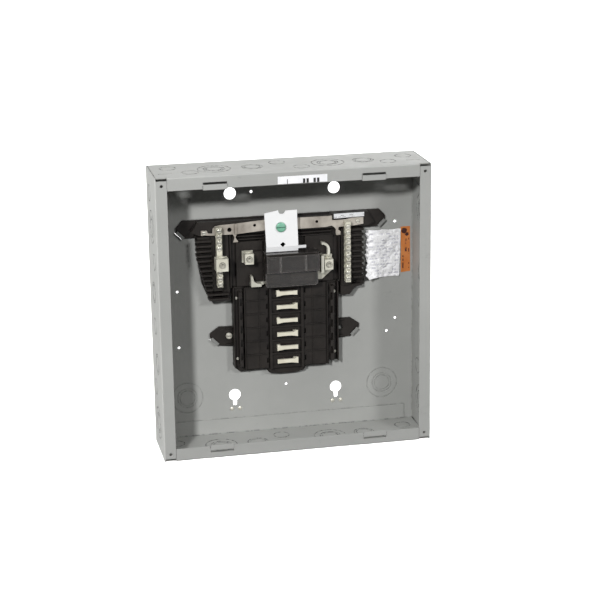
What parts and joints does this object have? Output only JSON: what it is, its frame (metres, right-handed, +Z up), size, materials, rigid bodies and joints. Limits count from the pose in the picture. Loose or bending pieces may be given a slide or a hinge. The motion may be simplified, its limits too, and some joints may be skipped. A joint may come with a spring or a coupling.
{
  "type": "residential load center",
  "caption": "Open indoor load center: grey knockout box with a black main-lug interior, interleaved bus stabs, neutral bars and a bonded neutral.",
  "frame": {"origin": "middle of the box's outer back face, on the wall plane", "axes": "+X to the right seen from the front, +Y into the wall, +Z up; the front opening faces -Y"},
  "size_m": [0.362, 0.0895, 0.38],
  "materials": {
    "enclosure_paint": "semi-gloss light grey paint",
    "white_label": "matt printed label",
    "orange_label": "matt printed label",
    "silver_label": "satin label",
    "black_moulding": "moulded black plastic",
    "rail_moulding": "moulded black plastic",
    "smoked_plastic": "smoked moulded plastic",
    "tinned_bus": "tin plate, satin",
    "tinned_link": "tin plate, satin",
    "pad_steel": "zinc-plated",
    "set_screw_steel": "zinc-plated",
    "lug_aluminium": "extruded",
    "bar_aluminium": "extruded",
    "strap_metal": "rolled",
    "bonding_plate_metal": "bright rolled",
    "spacer_aluminium": "cut",
    "green_screw": "green finish",
    "zinc_screws": "zinc-plated"
  },
  "bodies": {
    "load_center": {"enclosure_body": "enclosure_paint", "top_end_wall": "enclosure_paint", "bottom_end_wall": "enclosure_paint", "id_label": "white_label", "wiring_label": "white_label", "notice_label": "orange_label", "wing_label": "silver_label", "interior_base": "black_moulding", "breaker_rail_left": "rail_moulding", "breaker_rail_right": "rail_moulding", "bus_bar_a": "tinned_bus", "bus_bar_b": "tinned_bus", "stab_barrier": "black_moulding", "line_base": "black_moulding", "line_connector_left": "tinned_link", "line_connector_right": "tinned_link", "line_strap_right": "tinned_link", "main_lug_left": "lug_aluminium", "main_lug_right": "lug_aluminium", "line_shield": "smoked_plastic", "wing_crossbar": "black_moulding", "neutral_strap": "strap_metal", "neutral_bar_left": "bar_aluminium", "neutral_bar_right": "bar_aluminium", "neutral_screws_left": "zinc_screws", "neutral_screws_right": "zinc_screws", "interior_screw": "zinc_screws", "connector_screws": "zinc_screws", "rail_screws": "zinc_screws", "strap_screws": "zinc_screws", "neutral_lug": "lug_aluminium", "neutral_carrier_left": "black_moulding", "neutral_carrier_right": "black_moulding", "bonding_spacer": "spacer_aluminium", "bonding_plate": "bonding_plate_metal", "bonding_screw": "green_screw"},
    "main_lug_left_pad_body": {"main_lug_left_pad": "pad_steel"},
    "main_lug_left_screw_body": {"main_lug_left_screw": "set_screw_steel"},
    "main_lug_right_pad_body": {"main_lug_right_pad": "pad_steel"},
    "main_lug_right_screw_body": {"main_lug_right_screw": "set_screw_steel"},
    "neutral_lug_pad_body": {"neutral_lug_pad": "pad_steel"},
    "neutral_lug_screw_body": {"neutral_lug_screw": "set_screw_steel"}
  },
  "joints": [
    {"name": "main_lug_left_travel", "type": "slide", "parent": "load_center", "child": "main_lug_left_pad_body", "axis": [0, 1, 0], "range_m": [0, 0.006]},
    {"name": "main_lug_left_turn", "type": "hinge", "parent": "main_lug_left_pad_body", "child": "main_lug_left_screw_body", "pos_m": [-0.0512, -0.0262, 0.062], "axis": [0, 1, 0], "range_deg": [0, 1440]},
    {"name": "main_lug_right_travel", "type": "slide", "parent": "load_center", "child": "main_lug_right_pad_body", "axis": [0, 1, 0], "range_m": [0, 0.006]},
    {"name": "main_lug_right_turn", "type": "hinge", "parent": "main_lug_right_pad_body", "child": "main_lug_right_screw_body", "pos_m": [0.0566, -0.0262, 0.0475], "axis": [0, 1, 0], "range_deg": [0, 1440]},
    {"name": "neutral_lug_travel", "type": "slide", "parent": "load_center", "child": "neutral_lug_pad_body", "axis": [0, 1, 0], "range_m": [0, 0.0045]},
    {"name": "neutral_lug_turn", "type": "hinge", "parent": "neutral_lug_pad_body", "child": "neutral_lug_screw_body", "pos_m": [-0.0897, -0.0397, 0.0597], "axis": [0, 1, 0], "range_deg": [0, 1080]}
  ],
  "couplings": [
    {"joint": "main_lug_left_turn", "follows": "main_lug_left_travel", "rad_per_m": 4188.8},
    {"joint": "main_lug_right_turn", "follows": "main_lug_right_travel", "rad_per_m": 4188.8},
    {"joint": "neutral_lug_turn", "follows": "neutral_lug_travel", "rad_per_m": 4188.8}
  ]
}
